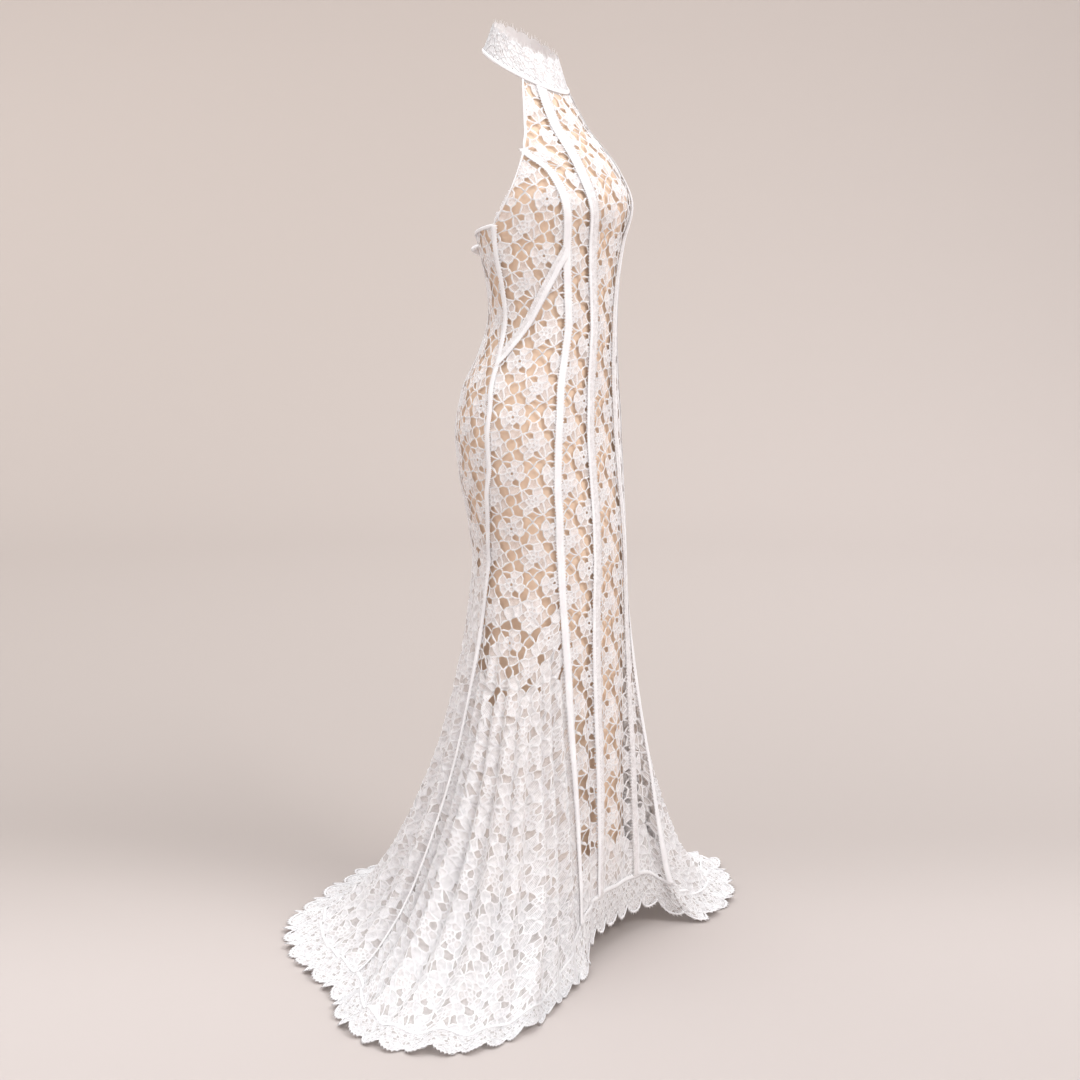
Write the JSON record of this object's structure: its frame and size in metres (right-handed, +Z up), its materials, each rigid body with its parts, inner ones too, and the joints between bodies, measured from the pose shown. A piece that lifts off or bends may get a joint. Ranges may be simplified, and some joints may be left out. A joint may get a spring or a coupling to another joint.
{
  "type": "lace mermaid dress",
  "caption": "Sleeveless floor-length mermaid dress of corded white lace over a nude lining, with a stand collar, an open back, princess seams and a train, standing as worn",
  "frame": {"origin": "the centre of the circle of the stand collar's lower edge, where the dress is held", "axes": "+Z up, -Y the front of the dress, +Y its back and train, -X the wearer's right side"},
  "size_m": [1.1785, 0.7013, 1.5515],
  "materials": {
    "lace": "matte corded lace",
    "dense_lace": "matte close lace",
    "lining": "matte stretch net"
  },
  "bodies": {
    "root": {"back_left": "lace", "back_right": "lace", "back_roll": "dense_lace", "back_zip": "dense_lace", "band_diagonal_left": "dense_lace", "band_diagonal_right": "dense_lace", "band_inner_left": "dense_lace", "band_inner_right": "dense_lace", "band_outer_left": "dense_lace", "band_outer_right": "dense_lace", "band_side_left": "dense_lace", "band_side_right": "dense_lace", "collar": "dense_lace", "collar_binding": "dense_lace", "edge_binding_left": "dense_lace", "edge_binding_right": "dense_lace", "front_centre": "lace", "front_left": "lace", "front_right": "lace", "hem_border_front": "dense_lace", "hem_border_left": "dense_lace", "hem_border_right": "dense_lace", "lining_back_left": "lining", "lining_back_right": "lining", "lining_front": "lining", "side_lower_left": "lace", "side_lower_right": "lace", "side_upper_left": "lace", "side_upper_right": "lace"}
  },
  "joints": []
}
